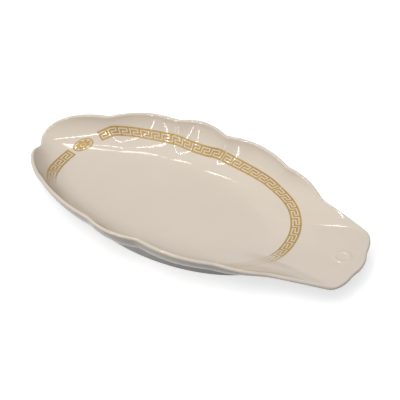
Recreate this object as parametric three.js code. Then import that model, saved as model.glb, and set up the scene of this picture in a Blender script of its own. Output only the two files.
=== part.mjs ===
// Leaf-shaped porcelain serving dish with a lobed rim, a flat tab handle and a printed gold band.
// Millimetres, +Z up. X runs along the dish with the handle at +X, and z = 0 is the foot ring.
import * as THREE from 'three';

// Rim from the leaf tip round the +Y side to the middle of the handle's end.
// Each lobe starts at x, y, z. It swells outwards by bulge and upwards by lift.
// skew moves the fullest point towards the start, and power makes the lobe rounder.
const LOBES = [
  { x: -116.5, y: 0, z: 10, bulge: 13.8, lift: 3.6, skew: 0.56, power: 0.8 },
  { x: -85, y: 37.5, z: 21.5, bulge: 5.2, lift: 1, skew: 1, power: 0.8 },
  { x: -40, y: 56, z: 23.5, bulge: 5, lift: 1.5, skew: 1, power: 0.8 },
  { x: -4, y: 57, z: 23.5, bulge: 5, lift: 1.5, skew: 1, power: 0.8 },
  { x: 44.5, y: 51, z: 22, bulge: 2.5, lift: 1, skew: 1, power: 1 },
  { x: 75.5, y: 38.6, z: 17.8, bulge: 0.3, lift: 0.5, skew: 1, power: 1 },
  { x: 109.5, y: 29, z: 15.8, bulge: 3, lift: 0, skew: 0.75, power: 0.7 },
  { x: 118, y: 10.5, z: 15.6, bulge: 0.9, lift: 0, skew: 1, power: 0.8 },
];
const RIM_END = { x: 120.4, y: 0, z: 15.6 };

// The -Y side is the mirror of it but for its first two lobes, which are smaller.
const NEAR_TIP = [
  { x: -116.5, y: 0, z: 10, bulge: 5.6, lift: 3.2, skew: 0.8, power: 0.6 },
  { x: -89.5, y: 37.2, z: 21, bulge: 3.4, lift: 0.5, skew: 1, power: 0.8 },
];
const LIFT_POWER = 0.8;
const LOBE_STEPS = 60;

// Rim line: spacing, softening at the edge and of the plain outline, and the way in from the outermost edge.
const RIM_STEP = 0.6;
const RIM_SOFTEN = 2.2;
const FLUTE_SOFTEN = 9;
const SOFTEN_REACH = 4;
const TANGENT_REACH = 3;
const RIM_INSET = 1.9;
const RIM_DROP = 0.2;

// Moves the outline's middle to the origin.
const CENTRE_SHIFT = 0.77;

// Flat oval floor of the well.
const FLOOR_X = -17.5;
const FLOOR_A = 72;
const FLOOR_B = 31;
const FLOOR_Z = 5;

// Wall profile: an arc that turns through some degrees, less at the tip, and a shelf towards the handle.
// Directions are degrees round the floor oval, 0 at the handle and 180 at the tip.
const WALL_TURN = 76;
const HANDLE_TURN = 40;
const TIP_TURN = 50;
const HANDLE_FROM = 18;
const HANDLE_TO = 62;
const TIP_FROM = 140;
const TIP_TO = 178;
const SHELF_POWER = 1.3;
const SHELF_RISE = 2.1;

// Porcelain thickness at the floor and at the rim, and the foot ring under the floor.
const FLOOR_THICK = 3.6;
const RIM_THICK = 2.6;
const FOOT_X = -5;
const FOOT_A = 79;
const FOOT_B = 47.5;
const FOOT_WIDTH = 4;
const FOOT_FLARE = 1.2;

// Mesh density: stations round the rim, and rings up the wall.
const STATIONS = 128;
const WALL_RINGS = [0, 0.1, 0.2, 0.3, 0.4, 0.5, 0.6, 0.7, 0.8, 0.9, 1];
const OUTER_RINGS = [0.15, 0.3, 0.45, 0.6, 0.75, 0.88, 1];
const UNDER_RINGS = [0.6, 0.8, 1];
const RIM_ANGLES = [45, 90, 135];
const UP_STEP = 0.02;
const ROUND_STEP = 0.0015;
const HALVINGS = 24;

// Raised ring on the handle.
const BOSS_X = 106;
const BOSS_R = 5.2;
const BOSS_WIDTH = 1.6;
const BOSS_RISE = 0.5;

// Printed gold band: its centre line in plan, its height on the wall, and its lift and film thickness.
const BAND_X = -13.5;
const BAND_A = 84.5;
const BAND_B = 50;
const BAND_POWER = 2.3;
const BAND_HEIGHT = 8.8;
const FILM_GAP = 0.3;
const FILM_THICK = 0.25;
const SEAM = 0.5;
const FILM_STEP = 4.2;
const FILM_ROWS = 4;
const FILM_WALK = 0.01;
const BAND_SAMPLES = 720;

// Band directions, in degrees round the floor oval, where one printed strip ends and the next starts.
const STRIPS = [
  { node: 'key_band_far_long', from: 137, to: 82 },
  { node: 'key_band_far_short', from: 82, to: 57 },
  { node: 'key_band_handle', from: 57, to: -57 },
  { node: 'key_band_near_short', from: -57, to: -82 },
  { node: 'key_band_near_long', from: -82, to: -137 },
  { node: 'key_band_tip', from: -137, to: -195 },
];

// Oval rosette between the tip strip and the long far strip.
const ROSETTE_AT = 151;
const ROSETTE_LONG = 7.6;
const ROSETTE_HIGH = 4.6;
const ROSETTE_STATIONS = 24;
const ROSETTE_MID = 0.5;

const lerp = (a, b, t) => a + (b - a) * t;
const smooth = (a, b, x) => {
  const t = Math.min(Math.max((x - a) / (b - a), 0), 1);
  return t * t * (3 - 2 * t);
};

// One side of the rim as a dense line of points.
function halfRim(lobes) {
  const points = [];
  lobes.forEach((lobe, k) => {
    const next = lobes[k + 1] ?? RIM_END;
    const dx = next.x - lobe.x;
    const dy = next.y - lobe.y;
    const chord = Math.hypot(dx, dy);
    for (let i = 0; i < LOBE_STEPS; i += 1) {
      const t = i / LOBE_STEPS;
      const swell = Math.sin(Math.PI * t ** lobe.skew) ** lobe.power;
      points.push(new THREE.Vector3(
        lobe.x + dx * t - (dy / chord) * lobe.bulge * swell,
        lobe.y + dy * t + (dx / chord) * lobe.bulge * swell,
        lerp(lobe.z, next.z, t) + lobe.lift * Math.sin(Math.PI * t) ** LIFT_POWER,
      ));
    }
  });
  points.push(new THREE.Vector3(RIM_END.x, RIM_END.y, RIM_END.z));
  return points;
}

// The whole rim, evenly spaced and softened over a length, as glaze softens an edge.
function rimLine(soften) {
  const far = halfRim(LOBES);
  const near = halfRim([...NEAR_TIP, ...LOBES.slice(NEAR_TIP.length)]);
  const mirror = near.slice(1, -1).reverse().map((p) => new THREE.Vector3(p.x, -p.y, p.z));
  const loop = [...far, ...mirror, far[0]];
  const along = [0];
  for (let i = 1; i < loop.length; i += 1) along.push(along[i - 1] + loop[i].distanceTo(loop[i - 1]));
  const total = along[along.length - 1];
  const count = 2 * Math.round(total / RIM_STEP / 2);
  const even = [];
  let k = 0;
  for (let i = 0; i < count; i += 1) {
    const s = (total * i) / count;
    while (along[k + 1] < s) k += 1;
    even.push(loop[k].clone().lerp(loop[k + 1], (s - along[k]) / (along[k + 1] - along[k])));
  }
  const reach = Math.round((SOFTEN_REACH * soften) / RIM_STEP);
  const soft = even.map((_, i) => {
    const sum = new THREE.Vector3();
    let weight = 0;
    for (let j = -reach; j <= reach; j += 1) {
      const w = Math.exp(-0.5 * ((j * RIM_STEP) / soften) ** 2);
      sum.addScaledVector(even[(i + j + count) % count], w);
      weight += w;
    }
    return sum.multiplyScalar(1 / weight);
  });
  return soft.map((p, i) => {
    const a = soft[(i + count - TANGENT_REACH) % count];
    const b = soft[(i + TANGENT_REACH) % count];
    const length = Math.hypot(b.x - a.x, b.y - a.y);
    return new THREE.Vector3(
      p.x + ((b.y - a.y) / length) * RIM_INSET,
      p.y - ((b.x - a.x) / length) * RIM_INSET,
      p.z - RIM_DROP,
    );
  });
}

// The lobed edge, and the plain outline that the flutes fade into towards the floor.
const RIM = rimLine(RIM_SOFTEN);
const PLAIN = rimLine(FLUTE_SOFTEN);

// Point of a line at station u, where 0 is the tip and 1 is once round.
function rimAt(u, line = RIM) {
  const s = (u - Math.floor(u)) * line.length;
  const i = Math.floor(s) % line.length;
  return line[i].clone().lerp(line[(i + 1) % line.length], s - Math.floor(s));
}

const direction = (p) => Math.atan2(p.y / FLOOR_B, (p.x - FLOOR_X) / FLOOR_A);

// Low ring of relief on the handle.
function boss(x, y) {
  const r = Math.hypot(x - BOSS_X, y);
  return BOSS_RISE * Math.exp(-(((r - BOSS_R + BOSS_WIDTH / 2) / (BOSS_WIDTH / 2)) ** 2));
}

// Inside surface: tau runs from 0 at the floor's edge to 1 at the rim.
function wall(u, tau) {
  const lobed = rimAt(u);
  const phi = direction(lobed);
  const degrees = THREE.MathUtils.radToDeg(Math.abs(phi));
  const handle = 1 - smooth(HANDLE_FROM, HANDLE_TO, degrees);
  const tip = smooth(TIP_FROM, TIP_TO, degrees);
  const turn = THREE.MathUtils.degToRad(lerp(lerp(WALL_TURN, HANDLE_TURN, handle), TIP_TURN, tip));
  const v = Math.sin(tau * turn) / Math.sin(turn);
  const cove = (1 - Math.cos(tau * turn)) / (1 - Math.cos(turn));
  const shelf = v ** SHELF_POWER * lerp(SHELF_RISE, 1, v);
  const rim = rimAt(u, PLAIN).lerp(lobed, v);
  const x = lerp(FLOOR_X + FLOOR_A * Math.cos(phi), rim.x, v);
  const y = lerp(FLOOR_B * Math.sin(phi), rim.y, v);
  const z = lerp(FLOOR_Z, rim.z, lerp(cove, shelf, handle));
  return new THREE.Vector3(x, y, z + boss(x, y));
}

// Direction up the wall, and the normal into the bowl.
function upWall(u, tau) {
  const low = Math.max(tau - UP_STEP, 0);
  const high = Math.min(tau + UP_STEP, 1);
  return wall(u, high).sub(wall(u, low)).normalize();
}

function normal(u, tau) {
  const round = wall(u + ROUND_STEP, tau).sub(wall(u - ROUND_STEP, tau));
  return round.cross(upWall(u, tau)).normalize();
}

// Closes a stack of rings, each a list of points, with an optional point at either end.
function skin(rings, first, last) {
  const n = rings[0].length;
  const points = rings.flat();
  const index = [];
  for (let r = 0; r + 1 < rings.length; r += 1) {
    for (let i = 0; i < n; i += 1) {
      const j = (i + 1) % n;
      const a = r * n + i;
      const b = r * n + j;
      const c = (r + 1) * n + i;
      const d = (r + 1) * n + j;
      index.push(a, b, c, b, d, c);
    }
  }
  if (first) {
    points.push(first);
    for (let i = 0; i < n; i += 1) index.push(points.length - 1, (i + 1) % n, i);
  }
  if (last) {
    const top = (rings.length - 1) * n;
    points.push(last);
    for (let i = 0; i < n; i += 1) index.push(points.length - 1, top + i, top + ((i + 1) % n));
  }
  const geometry = new THREE.BufferGeometry();
  geometry.setAttribute('position', new THREE.Float32BufferAttribute(points.flatMap((p) => p.toArray()), 3));
  geometry.setIndex(index);
  geometry.computeVertexNormals();
  return geometry;
}

// Outside surface: reach runs from 0 under the floor's middle, through 1 under its edge, to 2 at the rim.
function shell(u, reach) {
  if (reach <= 1) {
    const phi = direction(rimAt(u));
    return new THREE.Vector3(
      FLOOR_X + FLOOR_A * reach * Math.cos(phi),
      FLOOR_B * reach * Math.sin(phi),
      FLOOR_Z - FLOOR_THICK,
    );
  }
  const tau = reach - 1;
  return wall(u, tau).addScaledVector(normal(u, tau), -lerp(FLOOR_THICK, RIM_THICK, tau));
}

// Reach at which the outside surface crosses the foot's oval, grown by a margin.
function footReach(u, margin) {
  let low = 0;
  let high = 2;
  for (let i = 0; i < HALVINGS; i += 1) {
    const middle = (low + high) / 2;
    const p = shell(u, middle);
    const size = ((p.x - FOOT_X) / (FOOT_A + margin)) ** 2 + (p.y / (FOOT_B + margin)) ** 2;
    if (size > 1) high = middle;
    else low = middle;
  }
  return low;
}

// The fired porcelain: underside, foot ring, outer wall, rounded rim, inner wall and floor in one piece.
function dishGeometry() {
  const stations = Array.from({ length: STATIONS }, (_, i) => i / STATIONS);
  const outside = (margin, t) => stations.map((u) => shell(u, lerp(footReach(u, margin), 2, t)));
  const inside = (margin, t) => stations.map((u) => shell(u, footReach(u, margin) * t));
  const standing = (margin) => stations.map((u) => shell(u, footReach(u, margin)).setZ(0));
  const rings = [
    ...UNDER_RINGS.map((t) => inside(-FOOT_WIDTH - FOOT_FLARE, t)),
    standing(-FOOT_WIDTH),
    standing(0),
    outside(FOOT_FLARE, 0),
  ];
  for (const t of OUTER_RINGS) rings.push(outside(FOOT_FLARE, t));
  for (const angle of [...RIM_ANGLES].reverse()) {
    const a = THREE.MathUtils.degToRad(angle);
    const half = RIM_THICK / 2;
    rings.push(stations.map((u) => wall(u, 1)
      .addScaledVector(normal(u, 1), -half * (1 - Math.cos(a)))
      .addScaledVector(upWall(u, 1), half * Math.sin(a))));
  }
  for (const tau of [...WALL_RINGS].reverse()) rings.push(stations.map((u) => wall(u, tau)));
  const bottom = new THREE.Vector3(FLOOR_X, 0, FLOOR_Z - FLOOR_THICK);
  const top = new THREE.Vector3(FLOOR_X, 0, FLOOR_Z);
  return skin(rings, bottom, top);
}

// Where the band's centre line crosses the wall at station u.
function bandTau(u) {
  const outside = (tau) => {
    const p = wall(u, tau);
    return Math.abs((p.x - BAND_X) / BAND_A) ** BAND_POWER + Math.abs(p.y / BAND_B) ** BAND_POWER > 1;
  };
  let low = 0;
  let high = 1;
  for (let i = 0; i < HALVINGS; i += 1) {
    const middle = (low + high) / 2;
    if (outside(middle)) high = middle;
    else low = middle;
  }
  return low;
}

// Point that lies across millimetres up the wall from the band's centre line, lifted off the surface.
function filmPoint(u, across, lift) {
  const centre = bandTau(u);
  let tau = centre;
  let left = Math.abs(across);
  let here = wall(u, tau);
  while (left > 0) {
    const next = Math.min(Math.max(tau + Math.sign(across) * FILM_WALK, 0), 1);
    const there = wall(u, next);
    const length = there.distanceTo(here);
    if (length >= left || next === 0 || next === 1) {
      tau = lerp(tau, next, Math.min(left / length, 1));
      break;
    }
    left -= length;
    tau = next;
    here = there;
  }
  return wall(u, tau).addScaledVector(normal(u, tau), lift);
}

// Band centre line as lengths, so that strips can be cut by direction and stepped evenly.
const BAND_LINE = (() => {
  const line = [];
  let length = 0;
  let previous = null;
  for (let i = 0; i <= BAND_SAMPLES; i += 1) {
    const u = i / BAND_SAMPLES;
    const p = wall(u, bandTau(u));
    if (previous) length += p.distanceTo(previous);
    line.push({ u, length, angle: THREE.MathUtils.radToDeg(direction(rimAt(u))) });
    previous = p;
  }
  return line;
})();
const BAND_TOTAL = BAND_LINE[BAND_LINE.length - 1].length;

// Length along the band at a direction, counted on from the tip the way the strips run.
function lengthAt(degrees) {
  const target = degrees < -180 ? degrees + 360 : degrees;
  let best = BAND_LINE[0];
  for (const entry of BAND_LINE.slice(1, -1)) {
    if (Math.abs(entry.angle - target) < Math.abs(best.angle - target)) best = entry;
  }
  return degrees < -180 ? best.length + BAND_TOTAL : best.length;
}

function stationAt(length) {
  const s = ((length % BAND_TOTAL) + BAND_TOTAL) % BAND_TOTAL;
  let k = 0;
  while (BAND_LINE[k + 1].length < s) k += 1;
  const a = BAND_LINE[k];
  const b = BAND_LINE[k + 1];
  return lerp(a.u, b.u, (s - a.length) / (b.length - a.length));
}

// One strip of the printed band as a thin film that follows the wall.
function stripGeometry({ from, to }) {
  const start = lengthAt(from) + SEAM / 2;
  const end = lengthAt(to) - SEAM / 2;
  const count = Math.max(2, Math.round((end - start) / FILM_STEP));
  const rings = [];
  for (let i = 0; i <= count; i += 1) {
    const u = stationAt(lerp(start, end, i / count));
    const ring = [];
    for (let j = 0; j <= FILM_ROWS; j += 1) {
      ring.push(filmPoint(u, BAND_HEIGHT * (j / FILM_ROWS - 0.5), FILM_GAP));
    }
    for (let j = FILM_ROWS; j >= 0; j -= 1) {
      ring.push(filmPoint(u, BAND_HEIGHT * (j / FILM_ROWS - 0.5), FILM_GAP + FILM_THICK));
    }
    rings.push(ring);
  }
  const geometry = skin(rings);
  const index = Array.from(geometry.getIndex().array);
  const n = rings[0].length;
  const last = (rings.length - 1) * n;
  for (let j = 0; j < FILM_ROWS; j += 1) {
    const a = j;
    const b = j + 1;
    const c = n - 1 - j;
    const d = n - 2 - j;
    index.push(a, c, b, b, c, d);
    index.push(last + a, last + b, last + c, last + b, last + d, last + c);
  }
  geometry.setIndex(index);
  return geometry;
}

// Oval printed rosette as a thin film that follows the wall.
function rosetteGeometry() {
  const middle = lengthAt(ROSETTE_AT);
  const around = Array.from({ length: ROSETTE_STATIONS }, (_, i) => (2 * Math.PI * i) / ROSETTE_STATIONS);
  const ring = (scale, lift) => around.map((a) => filmPoint(
    stationAt(middle + ROSETTE_LONG * scale * Math.cos(a)),
    ROSETTE_HIGH * scale * Math.sin(a),
    lift,
  ));
  const low = FILM_GAP;
  const high = FILM_GAP + FILM_THICK;
  const centre = stationAt(middle);
  const rings = [ring(ROSETTE_MID, low), ring(1, low), ring(1, high), ring(ROSETTE_MID, high)];
  return skin(rings, filmPoint(centre, 0, low), filmPoint(centre, 0, high));
}

// Turns the faces over where the rings were listed the other way round.
function facingOut(geometry) {
  const position = geometry.getAttribute('position');
  const index = geometry.getIndex().array;
  const a = new THREE.Vector3();
  const b = new THREE.Vector3();
  const c = new THREE.Vector3();
  let volume = 0;
  for (let i = 0; i < index.length; i += 3) {
    a.fromBufferAttribute(position, index[i]);
    b.fromBufferAttribute(position, index[i + 1]);
    c.fromBufferAttribute(position, index[i + 2]);
    volume += a.dot(b.cross(c));
  }
  if (volume < 0) {
    const turned = Array.from(index);
    for (let i = 0; i < turned.length; i += 3) {
      [turned[i + 1], turned[i + 2]] = [turned[i + 2], turned[i + 1]];
    }
    geometry.setIndex(turned);
  }
  geometry.computeVertexNormals();
  return geometry;
}

const porcelain = new THREE.MeshStandardMaterial({ color: 0xd8ccbd, roughness: 0.15, metalness: 0 });
const gold = new THREE.MeshStandardMaterial({ color: 0xc3a069, roughness: 0.35, metalness: 0.6 });

const dish = new THREE.Group();
dish.position.x = CENTRE_SHIFT;
const add = (name, geometry, material) => {
  const mesh = new THREE.Mesh(facingOut(geometry), material);
  mesh.name = name;
  dish.add(mesh);
};

add('dish_body', dishGeometry(), porcelain);
for (const strip of STRIPS) add(strip.node, stripGeometry(strip), gold);
add('rosette', rosetteGeometry(), gold);

export default dish;
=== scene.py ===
import math

import bpy
import numpy as np
from mathutils import Matrix, Vector


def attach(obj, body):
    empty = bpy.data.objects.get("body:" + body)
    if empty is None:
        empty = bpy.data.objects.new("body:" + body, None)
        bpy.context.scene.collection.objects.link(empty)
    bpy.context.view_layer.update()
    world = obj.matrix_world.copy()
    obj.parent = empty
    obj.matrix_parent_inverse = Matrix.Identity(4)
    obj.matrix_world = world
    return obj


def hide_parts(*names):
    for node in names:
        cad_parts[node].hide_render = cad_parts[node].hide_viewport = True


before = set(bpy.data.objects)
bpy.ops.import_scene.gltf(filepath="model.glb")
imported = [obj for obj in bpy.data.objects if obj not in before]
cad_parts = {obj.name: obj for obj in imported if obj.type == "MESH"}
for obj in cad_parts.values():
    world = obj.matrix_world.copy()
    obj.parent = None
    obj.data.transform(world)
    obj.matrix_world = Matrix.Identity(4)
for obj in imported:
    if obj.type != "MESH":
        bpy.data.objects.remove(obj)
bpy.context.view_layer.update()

MM = 0.001

# Rim lobes from the leaf tip round the +Y side to the middle of the handle's end, in millimetres:
# start x, y and z, swell outwards, swell upwards, skew and roundness.
LOBES = [
    (-116.5, 0, 10, 13.8, 3.6, 0.56, 0.8),
    (-85, 37.5, 21.5, 5.2, 1, 1, 0.8),
    (-40, 56, 23.5, 5, 1.5, 1, 0.8),
    (-4, 57, 23.5, 5, 1.5, 1, 0.8),
    (44.5, 51, 22, 2.5, 1, 1, 1),
    (75.5, 38.6, 17.8, 0.3, 0.5, 1, 1),
    (109.5, 29, 15.8, 3, 0, 0.75, 0.7),
    (118, 10.5, 15.6, 0.9, 0, 1, 0.8),
]
RIM_END = (120.4, 0, 15.6)
# The -Y side is the mirror of it but for its first two lobes, which are smaller.
NEAR_TIP = [
    (-116.5, 0, 10, 5.6, 3.2, 0.8, 0.6),
    (-89.5, 37.2, 21, 3.4, 0.5, 1, 0.8),
]
LIFT_POWER = 0.8
LOBE_POINTS = 60

# Rim line: spacing, softening of the lobed edge and of the plain outline, reach of the softening, steps over
# which its direction is taken, fade of the flutes down the wall, and the way in from the outermost edge.
RIM_STEP = 0.6
RIM_SOFTEN = 2.2
FLUTE_SOFTEN = 9
SOFTEN_REACH = 4
DIRECTION_STEPS = 3
FLUTE_FADE = 0.35
RIM_INSET = 1.9
RIM_DROP = 0.2
CENTRE_SHIFT = 0.77

# Flat oval floor of the well, porcelain thickness and foot ring.
FLOOR_X = -17.5
FLOOR_A = 72
FLOOR_B = 31
FLOOR_Z = 5
WALL_TURN = 76
HANDLE_TURN = 40
TIP_TURN = 50
HANDLE_FROM = 18
HANDLE_TO = 62
TIP_FROM = 140
TIP_TO = 178
SHELF_POWER = 1.3
SHELF_RISE = 2.1
FLOOR_THICK = 3.6
RIM_THICK = 2.6
FOOT_X = -5
FOOT_A = 79
FOOT_B = 47.5
FOOT_WIDTH = 4
FOOT_FLARE = 1.2

# Mesh density: stations round the rim and rings up the wall. The floor's rings end at a small middle face.
STATIONS = 720
INNER_RINGS = 56
OUTER_RINGS = 28
RIM_RINGS = 9
FLOOR_RINGS = 6
UNDER_RINGS = 14
MIDDLE_FACE = 0.02

# Small steps round and up the wall for slopes, and halvings when a crossing is searched for.
ROUND_STEP = 0.0015
WALL_STEP = 0.02
LEAST_TAU = 0.001
HALVINGS = 24

# Reach of the outside surface at the floor's edge and at the rim.
EDGE_REACH = 1
RIM_REACH = 2

# Raised ring on the handle.
BOSS_X = 106
BOSS_R = 5.2
BOSS_WIDTH = 1.6
BOSS_RISE = 0.5

# Printed band: centre line in plan, height on the wall, and one unit of the key pattern with the widths
# of its columns and the heights of its rows.
BAND_X = -13.5
BAND_A = 84.5
BAND_B = 50
BAND_POWER = 2.3
BAND_HEIGHT = 7.4
KEY_UNIT = 7.5
KEY_PATTERN = (
    "########",
    "......#.",
    "#####.#.",
    "#.....#.",
    "#.#####.",
    "#.......",
    "########",
)
KEY_WIDTHS = (1.7, 1, 1.15, 1.15, 1.15, 1, 1.7, 1)
KEY_HEIGHTS = (1.7, 1, 1.7, 1, 1.7, 1, 1.7)
PRINT_LIFT = 0.06
PRINT_TOP = 0.97
SEAM = 0.5
STRIPS = [
    ("key_band_far_long", 137, 82),
    ("key_band_far_short", 82, 57),
    ("key_band_handle", 57, -57),
    ("key_band_near_short", -57, -82),
    ("key_band_near_long", -82, -137),
    ("key_band_tip", -137, -195),
]
ROSETTE_AT = 151
ROSETTE_LONG = 7.6
ROSETTE_HIGH = 4.6
PETALS = 8

# Shares of the rosette's size: middle, half length and half width of a petal, the disc, and the inner edge
# of its ring, with the points in a petal and in the ring.
PETAL_AT = 0.52
PETAL_LONG = 0.28
PETAL_WIDE = 0.19
DISC = 0.2
RING_INNER = 0.85
PETAL_POINTS = 20
RING_POINTS = 48

# Samples round the band, and for a place on the print the rounds of search, the points of each path up
# the wall and the step for its slope.
BAND_SAMPLES = 1441
PRINT_ROUNDS = 6
PATH_POINTS = 9
PRINT_STEP = 0.01

# Camera: direction and distance from the aim point, focal length and principal point in pixels.
IMAGE = 400
CAMERA_AZIMUTH = 28.28
CAMERA_ELEVATION = 42.12
CAMERA_ROLL = 1.25
CAMERA_DISTANCE = 0.634
CAMERA_AIM = (0.00737, 0, 0.015)
FOCAL_PIXELS = 995.75
CENTRE_PIXEL = (198.22, 200.59)
SENSOR = 36

# Soft light of the world: where it is brightest, how it spreads, and its least and greatest strength.
DOME_TOWARDS = (-0.1, -0.32, 0.94)
DOME_POWER = 5
DOME_LOW = 0.09
DOME_HIGH = 2.3

# Floor: its own glow and grey as seen, and its grey for bounced light.
FLOOR_GLOW = 0.65
FLOOR_SHADE = 0.55
FLOOR_BOUNCE = 0.08
FLOOR_SIZE = 12

# Lamps, in metres and watts: a small card, and two thin strips from low in front to high above.
LIGHT_AIM = Vector((0, 0, 0.01))
CARD_PLACE = Vector((-0.285, 0.29, 0.93))
CARD_SIZE = (0.09, 0.22)
CARD_POWER = 0.62
STRIP_ENDS = {
    "strip_left": (Vector((-0.2, -0.95, 0.15)), Vector((-0.25, 0.1, 1.0))),
    "strip_right": (Vector((-0.02, -0.95, 0.15)), Vector((-0.05, 0.1, 1.0))),
}
STRIP_WIDTH = 0.012
STRIP_POWER = 1.1

# Colours, and how coarse and how detailed their drift is.
GLAZE = (0.69, 0.61, 0.52)
GLAZE_WARM = (0.655, 0.572, 0.472)
BARE_CLAY = (0.70, 0.66, 0.60)
GOLD = (0.35, 0.205, 0.032)
GOLD_WORN = (0.5, 0.325, 0.08)
GLAZE_DRIFT = (26, 2)
GOLD_DRIFT = (240, 3)
GLAZE_IOR = 1.5
GOLD_METAL = 0.15
CLAY_ROUGH = 0.75

# Least and greatest roughness of the glaze and the print, and the waviness of the glaze in metres.
GLAZE_ROUGH = (0.04, 0.07)
GOLD_ROUGH = (0.28, 0.42)
RIPPLE_SCALE = 150
RIPPLE_HEIGHT = 0.00002

# Places where the print is rubbed away, how far from them wear starts and is greatest, its unevenness in
# millimetres, and its greatest share.
RUBBED = ((57, -31, 9), (-72, -29, 8))
WEAR_FROM = 30
WEAR_TO = 18
WEAR_UNEVEN = 8
WEAR_MOST = 0.85


def smooth(a, b, x):
    t = np.clip((x - a) / (b - a), 0, 1)
    return t * t * (3 - 2 * t)


def half_rim(lobes):
    """One side of the rim as a dense line of points."""
    points = []
    starts = [lobe[:3] for lobe in lobes]
    for lobe, end in zip(lobes, starts[1:] + [RIM_END]):
        start, swell_out, swell_up, skew, power = np.array(lobe[:3], float), *lobe[3:]
        chord = np.array(end, float) - start
        out = np.array([-chord[1], chord[0], 0]) / math.hypot(chord[0], chord[1])
        t = np.linspace(0, 1, LOBE_POINTS, endpoint=False)[:, None]
        swell = np.sin(math.pi * t**skew) ** power
        lift = np.array([0, 0, swell_up]) * np.sin(math.pi * t) ** LIFT_POWER
        points.append(start + chord * t + out * swell_out * swell + lift)
    points.append(np.array([RIM_END], float))
    return np.concatenate(points)


def rim_line(soften):
    """The whole rim, evenly spaced and softened over a length, as glaze softens an edge."""
    far = half_rim(LOBES)
    near = half_rim(NEAR_TIP + LOBES[len(NEAR_TIP) :])
    loop = np.concatenate([far, (near * [1, -1, 1])[-2::-1]])
    along = np.concatenate([[0], np.cumsum(np.linalg.norm(np.diff(loop, axis=0), axis=1))])
    count = 2 * round(along[-1] / RIM_STEP / 2)
    s = np.linspace(0, along[-1], count, endpoint=False)
    even = np.stack([np.interp(s, along, loop[:, k]) for k in range(3)], 1)
    reach = round(SOFTEN_REACH * soften / RIM_STEP)
    weights = np.exp(-0.5 * (np.arange(-reach, reach + 1) * RIM_STEP / soften) ** 2)
    weights /= weights.sum()
    ends = np.concatenate([even[-reach:], even, even[:reach]])
    soft = np.stack([np.convolve(ends[:, k], weights, "valid") for k in range(3)], 1)
    along_rim = np.roll(soft, -DIRECTION_STEPS, 0) - np.roll(soft, DIRECTION_STEPS, 0)
    length = np.hypot(along_rim[:, 0], along_rim[:, 1])
    inward = np.stack([along_rim[:, 1] / length, -along_rim[:, 0] / length], 1)
    soft[:, :2] += inward * RIM_INSET
    soft[:, 2] -= RIM_DROP
    return soft


# The lobed edge, and the plain outline that the flutes fade into towards the floor.
RIM = rim_line(RIM_SOFTEN)
PLAIN = rim_line(FLUTE_SOFTEN)


def rim_at(u, line=RIM):
    """Points of a line at stations u, where 0 is the tip and 1 is once round."""
    s = np.mod(u, 1) * len(line)
    i = np.floor(s).astype(int) % len(line)
    part = (s - np.floor(s))[..., None]
    return line[i] * (1 - part) + line[(i + 1) % len(line)] * part


def direction(points):
    return np.arctan2(points[..., 1] / FLOOR_B, (points[..., 0] - FLOOR_X) / FLOOR_A)


def relief(x, y):
    """Low ring on the handle."""
    r = np.hypot(x - BOSS_X, y)
    return BOSS_RISE * np.exp(-(((r - BOSS_R + BOSS_WIDTH / 2) / (BOSS_WIDTH / 2)) ** 2))


def wall(u, tau):
    """Inside surface: tau runs from 0 at the floor's edge to 1 at the rim."""
    u, tau = np.broadcast_arrays(np.asarray(u, float), np.asarray(tau, float))
    lobed = rim_at(u)
    phi = direction(lobed)
    degrees = np.degrees(np.abs(phi))
    handle = 1 - smooth(HANDLE_FROM, HANDLE_TO, degrees)
    tip = smooth(TIP_FROM, TIP_TO, degrees)
    turn = WALL_TURN + (HANDLE_TURN - WALL_TURN) * handle
    turn = np.radians(turn + (TIP_TURN - turn) * tip)
    v = np.sin(tau * turn) / np.sin(turn)
    cove = (1 - np.cos(tau * turn)) / (1 - np.cos(turn))
    shelf = v**SHELF_POWER * (SHELF_RISE + (1 - SHELF_RISE) * v)
    plain = rim_at(u, PLAIN)
    rim = plain + (lobed - plain) * v[..., None] ** FLUTE_FADE
    floor_x = FLOOR_X + FLOOR_A * np.cos(phi)
    floor_y = FLOOR_B * np.sin(phi)
    x = floor_x + (rim[..., 0] - floor_x) * v
    y = floor_y + (rim[..., 1] - floor_y) * v
    z = FLOOR_Z + (rim[..., 2] - FLOOR_Z) * (cove + (shelf - cove) * handle)
    return np.stack([x, y, z + relief(x, y)], -1)


def unit(vectors):
    return vectors / np.linalg.norm(vectors, axis=-1, keepdims=True)


def up_wall(u, tau):
    return unit(wall(u, np.minimum(tau + WALL_STEP, 1)) - wall(u, np.maximum(tau - WALL_STEP, 0)))


def normal(u, tau):
    """Normal of the inside surface, into the bowl."""
    across = wall(u + ROUND_STEP, tau) - wall(u - ROUND_STEP, tau)
    return unit(np.cross(across, up_wall(u, np.maximum(tau, LEAST_TAU))))


def add_mesh(name, points, faces, materials, indices=None):
    """A smooth-shaded mesh object from points in millimetres."""
    shifted = (np.asarray(points) + [CENTRE_SHIFT, 0, 0]) * MM
    mesh = bpy.data.meshes.new(name)
    mesh.from_pydata(shifted.tolist(), [], [tuple(map(int, face)) for face in faces])
    for material in materials:
        mesh.materials.append(material)
    if indices is not None:
        mesh.polygons.foreach_set("material_index", indices)
    mesh.polygons.foreach_set("use_smooth", [True] * len(mesh.polygons))
    mesh.update()
    piece = bpy.data.objects.new(name, mesh)
    bpy.context.collection.objects.link(piece)
    return piece


def principled(name, colour, roughness, **sockets):
    material = bpy.data.materials.new(name)
    material.use_nodes = True
    shader = material.node_tree.nodes["Principled BSDF"]
    shader.inputs["Base Color"].default_value = (*colour, 1)
    shader.inputs["Roughness"].default_value = roughness
    for socket, value in sockets.items():
        shader.inputs[socket].default_value = value
    return material


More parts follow.
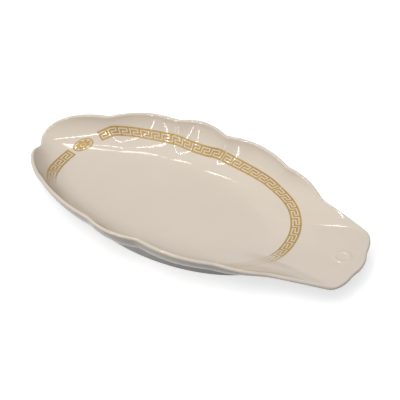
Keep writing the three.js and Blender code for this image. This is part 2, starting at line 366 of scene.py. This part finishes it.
def drifting(name, dark, light, drift, rough, **sockets):
    """Material whose colour and roughness drift between two ends."""
    material = principled(name, light, rough[0], **sockets)
    nodes, links = material.node_tree.nodes, material.node_tree.links
    place = nodes.new("ShaderNodeTexCoord")
    noise = nodes.new("ShaderNodeTexNoise")
    noise.inputs["Scale"].default_value, noise.inputs["Detail"].default_value = drift
    tone = nodes.new("ShaderNodeMix")
    tone.data_type = "RGBA"
    tone.inputs["A"].default_value = (*dark, 1)
    tone.inputs["B"].default_value = (*light, 1)
    links.new(place.outputs["Object"], noise.inputs["Vector"])
    links.new(noise.outputs["Fac"], tone.inputs["Factor"])
    links.new(tone.outputs["Result"], nodes["Principled BSDF"].inputs["Base Color"])
    gloss = nodes.new("ShaderNodeMapRange")
    gloss.inputs["To Min"].default_value, gloss.inputs["To Max"].default_value = rough
    links.new(noise.outputs["Fac"], gloss.inputs["Value"])
    links.new(gloss.outputs[0], nodes["Principled BSDF"].inputs["Roughness"])
    return material


def ripple(material):
    """Faint waviness, as a fired glaze has."""
    nodes, links = material.node_tree.nodes, material.node_tree.links
    place = nodes.new("ShaderNodeTexCoord")
    noise = nodes.new("ShaderNodeTexNoise")
    noise.inputs["Scale"].default_value = RIPPLE_SCALE
    bump = nodes.new("ShaderNodeBump")
    bump.inputs["Distance"].default_value = RIPPLE_HEIGHT
    links.new(place.outputs["Object"], noise.inputs["Vector"])
    links.new(noise.outputs["Fac"], bump.inputs["Height"])
    links.new(bump.outputs["Normal"], nodes["Principled BSDF"].inputs["Normal"])


def wear(material):
    """Lets the print fade unevenly into the glaze round two rubbed places."""
    nodes, links = material.node_tree.nodes, material.node_tree.links
    shader = nodes["Principled BSDF"]
    place = nodes.new("ShaderNodeTexCoord")
    nearest = nodes.new("ShaderNodeMath")
    nearest.operation = "MINIMUM"
    for k, centre in enumerate(RUBBED):
        away = nodes.new("ShaderNodeVectorMath")
        away.operation = "DISTANCE"
        away.inputs[1].default_value = Vector(centre) * MM
        links.new(place.outputs["Object"], away.inputs[0])
        links.new(away.outputs["Value"], nearest.inputs[k])
    uneven = nodes.new("ShaderNodeMath")
    uneven.operation = "MULTIPLY_ADD"
    uneven.inputs[1].default_value = WEAR_UNEVEN * MM
    links.new(nodes["Noise Texture"].outputs["Fac"], uneven.inputs[0])
    links.new(nearest.outputs[0], uneven.inputs[2])
    amount = nodes.new("ShaderNodeMapRange")
    amount.inputs["From Min"].default_value = WEAR_FROM * MM
    amount.inputs["From Max"].default_value = WEAR_TO * MM
    amount.inputs["To Max"].default_value = WEAR_MOST
    links.new(uneven.outputs[0], amount.inputs["Value"])
    bare_glaze = {"Base Color": (*GLAZE, 1), "Roughness": GLAZE_ROUGH[0], "Metallic": 0}
    for socket, bare in bare_glaze.items():
        target = shader.inputs[socket]
        faded = nodes.new("ShaderNodeMix")
        faded.data_type = "RGBA" if socket == "Base Color" else "FLOAT"
        faded.inputs["A"].default_value = target.default_value
        faded.inputs["B"].default_value = bare
        for link in target.links:
            links.new(link.from_socket, faded.inputs["A"])
        links.new(amount.outputs[0], faded.inputs["Factor"])
        links.new(faded.outputs["Result"], target)


def shell(u, reach):
    """Outside surface: reach runs from 0 under the floor's middle, past its edge, to the rim."""
    u, reach = np.broadcast_arrays(np.asarray(u, float), np.asarray(reach, float))
    phi = direction(rim_at(u))
    inside = np.minimum(reach, EDGE_REACH)
    bottom = np.stack(
        [
            FLOOR_X + FLOOR_A * inside * np.cos(phi),
            FLOOR_B * inside * np.sin(phi),
            np.full(u.shape, FLOOR_Z - FLOOR_THICK),
        ],
        -1,
    )
    tau = np.maximum(reach - EDGE_REACH, 0)
    thick = FLOOR_THICK + (RIM_THICK - FLOOR_THICK) * tau
    on_wall = (reach > EDGE_REACH)[..., None]
    return np.where(on_wall, wall(u, tau) - normal(u, tau) * thick[..., None], bottom)


def foot_reach(u, margin):
    """Reach at which the outside surface crosses the foot's oval, grown by a margin."""
    low, high = np.zeros(u.shape), np.full(u.shape, float(RIM_REACH))
    for _ in range(HALVINGS):
        middle = (low + high) / 2
        p = shell(u, middle)
        size = ((p[:, 0] - FOOT_X) / (FOOT_A + margin)) ** 2 + (p[:, 1] / (FOOT_B + margin)) ** 2
        high = np.where(size > 1, middle, high)
        low = np.where(size > 1, low, middle)
    return low


def dish_body(glaze, clay):
    """The porcelain: underside, foot ring, outer wall, rounded rim, inner wall and floor."""
    u = np.arange(STATIONS) / STATIONS
    recess = foot_reach(u, -FOOT_WIDTH - FOOT_FLARE)
    rings = [shell(u, recess * t) for t in np.linspace(MIDDLE_FACE, 1, UNDER_RINGS)]
    for margin in (-FOOT_WIDTH, 0):
        standing = shell(u, foot_reach(u, margin))
        standing[:, 2] = 0
        rings.append(standing)
    foot_start = len(rings) - 2
    outside = foot_reach(u, FOOT_FLARE)
    rings += [shell(u, outside + (RIM_REACH - outside) * t) for t in np.linspace(0, 1, OUTER_RINGS)]
    across, up = normal(u, 1.0), up_wall(u, 1.0)
    half = RIM_THICK / 2
    for angle in np.linspace(math.pi, 0, RIM_RINGS + 2)[1:-1]:
        rings.append(wall(u, 1.0) - across * half * (1 - math.cos(angle)) + up * half * math.sin(angle))
    rings += [wall(u, tau) for tau in np.linspace(1, 0, INNER_RINGS)]
    edge = wall(u, 0.0)
    middle = np.array([FLOOR_X, 0, FLOOR_Z])
    rings += [middle + (edge - middle) * scale for scale in np.linspace(1, MIDDLE_FACE, FLOOR_RINGS)[1:]]
    faces, indices = [], []
    n = STATIONS
    for r in range(len(rings) - 1):
        for i in range(n):
            j = (i + 1) % n
            faces.append((r * n + i, (r + 1) * n + i, (r + 1) * n + j, r * n + j))
            indices.append(1 if r == foot_start else 0)
    faces.append(tuple(range(n)))
    faces.append(tuple((len(rings) - 1) * n + i for i in reversed(range(n))))
    indices += [0, 0]
    return add_mesh("porcelain_body", np.concatenate(rings), faces, [glaze, clay], indices)


def band_tau(u):
    """Where the band's centre line crosses the wall at stations u."""
    low, high = np.zeros(np.shape(u)), np.ones(np.shape(u))
    for _ in range(HALVINGS):
        middle = (low + high) / 2
        p = wall(u, middle)
        along = np.abs((p[..., 0] - BAND_X) / BAND_A) ** BAND_POWER
        out = along + np.abs(p[..., 1] / BAND_B) ** BAND_POWER > 1
        high = np.where(out, middle, high)
        low = np.where(out, low, middle)
    return low


BAND_U = np.linspace(0, 1, BAND_SAMPLES)
BAND_POINTS = wall(BAND_U, band_tau(BAND_U))
BAND_LENGTH = np.concatenate([[0], np.cumsum(np.linalg.norm(np.diff(BAND_POINTS, axis=0), axis=1))])
BAND_ANGLE = np.degrees(direction(rim_at(BAND_U)))


def length_at(degrees):
    """Length along the band at a direction, counted on from the tip."""
    target = degrees + 360 if degrees < -180 else degrees
    best = 1 + np.argmin(np.abs(BAND_ANGLE[1:-1] - target))
    return BAND_LENGTH[best] + (BAND_LENGTH[-1] if degrees < -180 else 0)


def print_points(length, across):
    """Points on the print, length along the band and across millimetres up the wall."""
    length, across = np.broadcast_arrays(np.asarray(length, float), np.asarray(across, float))
    u = np.interp(np.mod(length, BAND_LENGTH[-1]), BAND_LENGTH, BAND_U)
    centre = band_tau(u)
    tau = centre.copy()
    steps = np.linspace(0, 1, PATH_POINTS)
    for _ in range(PRINT_ROUNDS):
        path = np.stack([wall(u, centre + (tau - centre) * k) for k in steps])
        run = np.linalg.norm(np.diff(path, axis=0), axis=-1).sum(0) * np.sign(tau - centre)
        rate = np.linalg.norm(wall(u, tau + PRINT_STEP) - wall(u, tau), axis=-1) / PRINT_STEP
        tau = np.clip(tau + (across - run) / rate, 0, PRINT_TOP)
    return wall(u, tau) + normal(u, tau) * PRINT_LIFT


def key_cells():
    """Gold cells of one key unit, by column and then by row from below."""
    return np.array([[mark == "#" for mark in row] for row in reversed(KEY_PATTERN)]).T


def key_strip(name, start, end, gold):
    """One printed strip of the key pattern, as gold cells on the glaze."""
    first = length_at(start) + SEAM / 2
    last = length_at(end) - SEAM / 2
    units = round((last - first) / KEY_UNIT)
    widths = np.array(KEY_WIDTHS * units + KEY_WIDTHS[:1])
    along = np.concatenate([[0], np.cumsum(widths)])
    lengths = first + (last - first) * along / along[-1]
    up = np.concatenate([[0], np.cumsum(KEY_HEIGHTS)])
    rows = BAND_HEIGHT * (up / up[-1] - 0.5)
    points = print_points(lengths[:, None], rows[None, :]).reshape(-1, 3)
    cells = np.concatenate([np.tile(key_cells(), (units, 1)), np.ones((1, len(KEY_HEIGHTS)), bool)])
    stride = len(rows)
    faces = []
    for i, j in zip(*np.nonzero(cells)):
        a = i * stride + j
        faces.append((a, a + 1, a + stride + 1, a + stride))
    piece = add_mesh(f"{name}_print", points, faces, [gold])
    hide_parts(name)
    return piece


def rosette(gold):
    """Oval ring of petals round a disc."""
    middle = length_at(ROSETTE_AT)
    points, faces = [], []

    def patch(outline_long, outline_high):
        start = len(points)
        points.extend(zip(outline_long, outline_high))
        faces.append(tuple(range(start, start + len(outline_long))))

    turn = np.linspace(0, 2 * math.pi, PETAL_POINTS, endpoint=False)
    for k in range(PETALS):
        lean = 2 * math.pi * k / PETALS
        along = PETAL_AT + PETAL_LONG * np.cos(turn)
        side = PETAL_WIDE * np.sin(turn)
        x = along * math.cos(lean) - side * math.sin(lean)
        y = along * math.sin(lean) + side * math.cos(lean)
        patch(x * ROSETTE_LONG, y * ROSETTE_HIGH)
    patch(DISC * np.cos(turn) * ROSETTE_LONG, DISC * np.sin(turn) * ROSETTE_HIGH)
    edge = np.linspace(0, 2 * math.pi, RING_POINTS, endpoint=False)
    start = len(points)
    for scale in (RING_INNER, 1):
        points.extend(zip(scale * np.cos(edge) * ROSETTE_LONG, scale * np.sin(edge) * ROSETTE_HIGH))
    for i in range(RING_POINTS):
        j = (i + 1) % RING_POINTS
        faces.append((start + i, start + j, start + RING_POINTS + j, start + RING_POINTS + i))
    flat = np.array(points)
    piece = add_mesh("rosette_print", print_points(middle + flat[:, 0], flat[:, 1]), faces, [gold])
    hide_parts("rosette")
    return piece


def add_camera():
    a, e, r = (math.radians(d) for d in (CAMERA_AZIMUTH, CAMERA_ELEVATION, CAMERA_ROLL))
    back = Vector((math.sin(a) * math.cos(e), -math.cos(a) * math.cos(e), math.sin(e)))
    level = Vector((math.cos(a), math.sin(a), 0))
    upright = back.cross(level)
    right = math.cos(r) * level + math.sin(r) * upright
    up = back.cross(right)
    data = bpy.data.cameras.new("camera")
    data.sensor_width = SENSOR
    data.lens = FOCAL_PIXELS / IMAGE * SENSOR
    data.shift_x = (IMAGE / 2 - CENTRE_PIXEL[0]) / IMAGE
    data.shift_y = (CENTRE_PIXEL[1] - IMAGE / 2) / IMAGE
    camera = bpy.data.objects.new("camera", data)
    turn = Matrix((right, up, back)).transposed().to_4x4()
    camera.matrix_world = Matrix.Translation(Vector(CAMERA_AIM) + back * CAMERA_DISTANCE) @ turn
    bpy.context.collection.objects.link(camera)
    bpy.context.scene.camera = camera


def area_light(name, place, size, energy):
    """A rectangular lamp that faces the dish."""
    data = bpy.data.lights.new(name, "AREA")
    data.shape = "RECTANGLE"
    data.size, data.size_y = size
    data.energy = energy
    light = bpy.data.objects.new(name, data)
    light.location = place
    light.rotation_euler = (place - LIGHT_AIM).to_track_quat("Z", "Y").to_euler()
    bpy.context.collection.objects.link(light)
    return light


def strip_light(name, start, end):
    """A long thin lamp from start to end that faces the dish."""
    light = area_light(name, (start + end) / 2, (STRIP_WIDTH, (end - start).length), STRIP_POWER)
    along = (end - start).normalized()
    back = (start + end) / 2 - LIGHT_AIM
    back = (back - along * back.dot(along)).normalized()
    light.rotation_euler = Matrix((along.cross(back), along, back)).transposed().to_euler()


def rays(tree, *kinds):
    """1 for rays of any of these kinds, and 0 for the others."""
    path = tree.nodes.new("ShaderNodeLightPath")
    seen = path.outputs[kinds[0]]
    for kind in kinds[1:]:
        either = tree.nodes.new("ShaderNodeMath")
        either.operation = "MAXIMUM"
        tree.links.new(seen, either.inputs[0])
        tree.links.new(path.outputs[kind], either.inputs[1])
        seen = either.outputs[0]
    return seen


def mixed(tree, factor, first, second):
    """Shader that is the first where the factor is 0, and the second where it is 1."""
    mix = tree.nodes.new("ShaderNodeMixShader")
    tree.links.new(factor, mix.inputs[0])
    tree.links.new(first, mix.inputs[1])
    tree.links.new(second, mix.inputs[2])
    return mix.outputs[0]


def matt(tree, grey):
    shader = tree.nodes.new("ShaderNodeBsdfDiffuse")
    shader.inputs["Color"].default_value = (grey, grey, grey, 1)
    return shader.outputs[0]


def add_floor():
    """Pale floor that is seen as white, keeps the dish's shadow and sends little light back up."""
    bpy.ops.mesh.primitive_plane_add(size=FLOOR_SIZE, location=(0, 0, 0))
    floor = bpy.context.object
    floor.name = "floor"
    material = bpy.data.materials.new("pale_floor")
    material.use_nodes = True
    tree = material.node_tree
    tree.nodes.clear()
    glow = tree.nodes.new("ShaderNodeEmission")
    glow.inputs["Strength"].default_value = FLOOR_GLOW
    white = tree.nodes.new("ShaderNodeAddShader")
    tree.links.new(matt(tree, FLOOR_SHADE), white.inputs[0])
    tree.links.new(glow.outputs[0], white.inputs[1])
    seen = rays(tree, "Is Camera Ray", "Is Glossy Ray", "Is Transmission Ray")
    surface = mixed(tree, seen, matt(tree, FLOOR_BOUNCE), white.outputs[0])
    out = tree.nodes.new("ShaderNodeOutputMaterial")
    tree.links.new(surface, out.inputs["Surface"])
    floor.data.materials.append(material)


def add_world():
    """White backdrop whose soft light comes mostly from above and in front."""
    world = bpy.data.worlds.new("backdrop")
    world.use_nodes = True
    tree = world.node_tree
    background = tree.nodes["Background"]
    background.inputs["Color"].default_value = (1, 1, 1, 1)
    sky = tree.nodes.new("ShaderNodeTexCoord")
    facing = tree.nodes.new("ShaderNodeVectorMath")
    facing.operation = "DOT_PRODUCT"
    facing.inputs[1].default_value = Vector(DOME_TOWARDS).normalized()
    front = tree.nodes.new("ShaderNodeMath")
    front.operation = "MAXIMUM"
    front.inputs[1].default_value = 0
    spread = tree.nodes.new("ShaderNodeMath")
    spread.operation = "POWER"
    spread.inputs[1].default_value = DOME_POWER
    dome = tree.nodes.new("ShaderNodeMapRange")
    dome.inputs["To Min"].default_value = DOME_LOW
    dome.inputs["To Max"].default_value = DOME_HIGH
    strength = tree.nodes.new("ShaderNodeMix")
    strength.inputs["B"].default_value = 1.0
    tree.links.new(sky.outputs["Generated"], facing.inputs[0])
    tree.links.new(facing.outputs["Value"], front.inputs[0])
    tree.links.new(front.outputs[0], spread.inputs[0])
    tree.links.new(spread.outputs[0], dome.inputs["Value"])
    seen = rays(tree, "Is Camera Ray", "Is Glossy Ray", "Is Transmission Ray")
    tree.links.new(seen, strength.inputs["Factor"])
    tree.links.new(dome.outputs[0], strength.inputs["A"])
    tree.links.new(strength.outputs["Result"], background.inputs["Strength"])
    bpy.context.scene.world = world


def add_lights():
    area_light("card", CARD_PLACE, CARD_SIZE, CARD_POWER)
    for name, (start, end) in STRIP_ENDS.items():
        strip_light(name, start, end)


glaze = drifting("ivory_glaze", GLAZE_WARM, GLAZE, GLAZE_DRIFT, GLAZE_ROUGH, IOR=GLAZE_IOR)
ripple(glaze)
clay = principled("bare_foot", BARE_CLAY, CLAY_ROUGH)
gold = drifting("gold_print", GOLD, GOLD_WORN, GOLD_DRIFT, GOLD_ROUGH, Metallic=GOLD_METAL)
wear(gold)

add_camera()
body = dish_body(glaze, clay)
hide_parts("dish_body")
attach(body, "root")
prints = [key_strip(name, start, end, gold) for name, start, end in STRIPS]
prints.append(rosette(gold))
for piece in prints:
    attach(piece, "root")
add_floor()
add_world()
add_lights()

bpy.context.scene.view_settings.view_transform = "Standard"
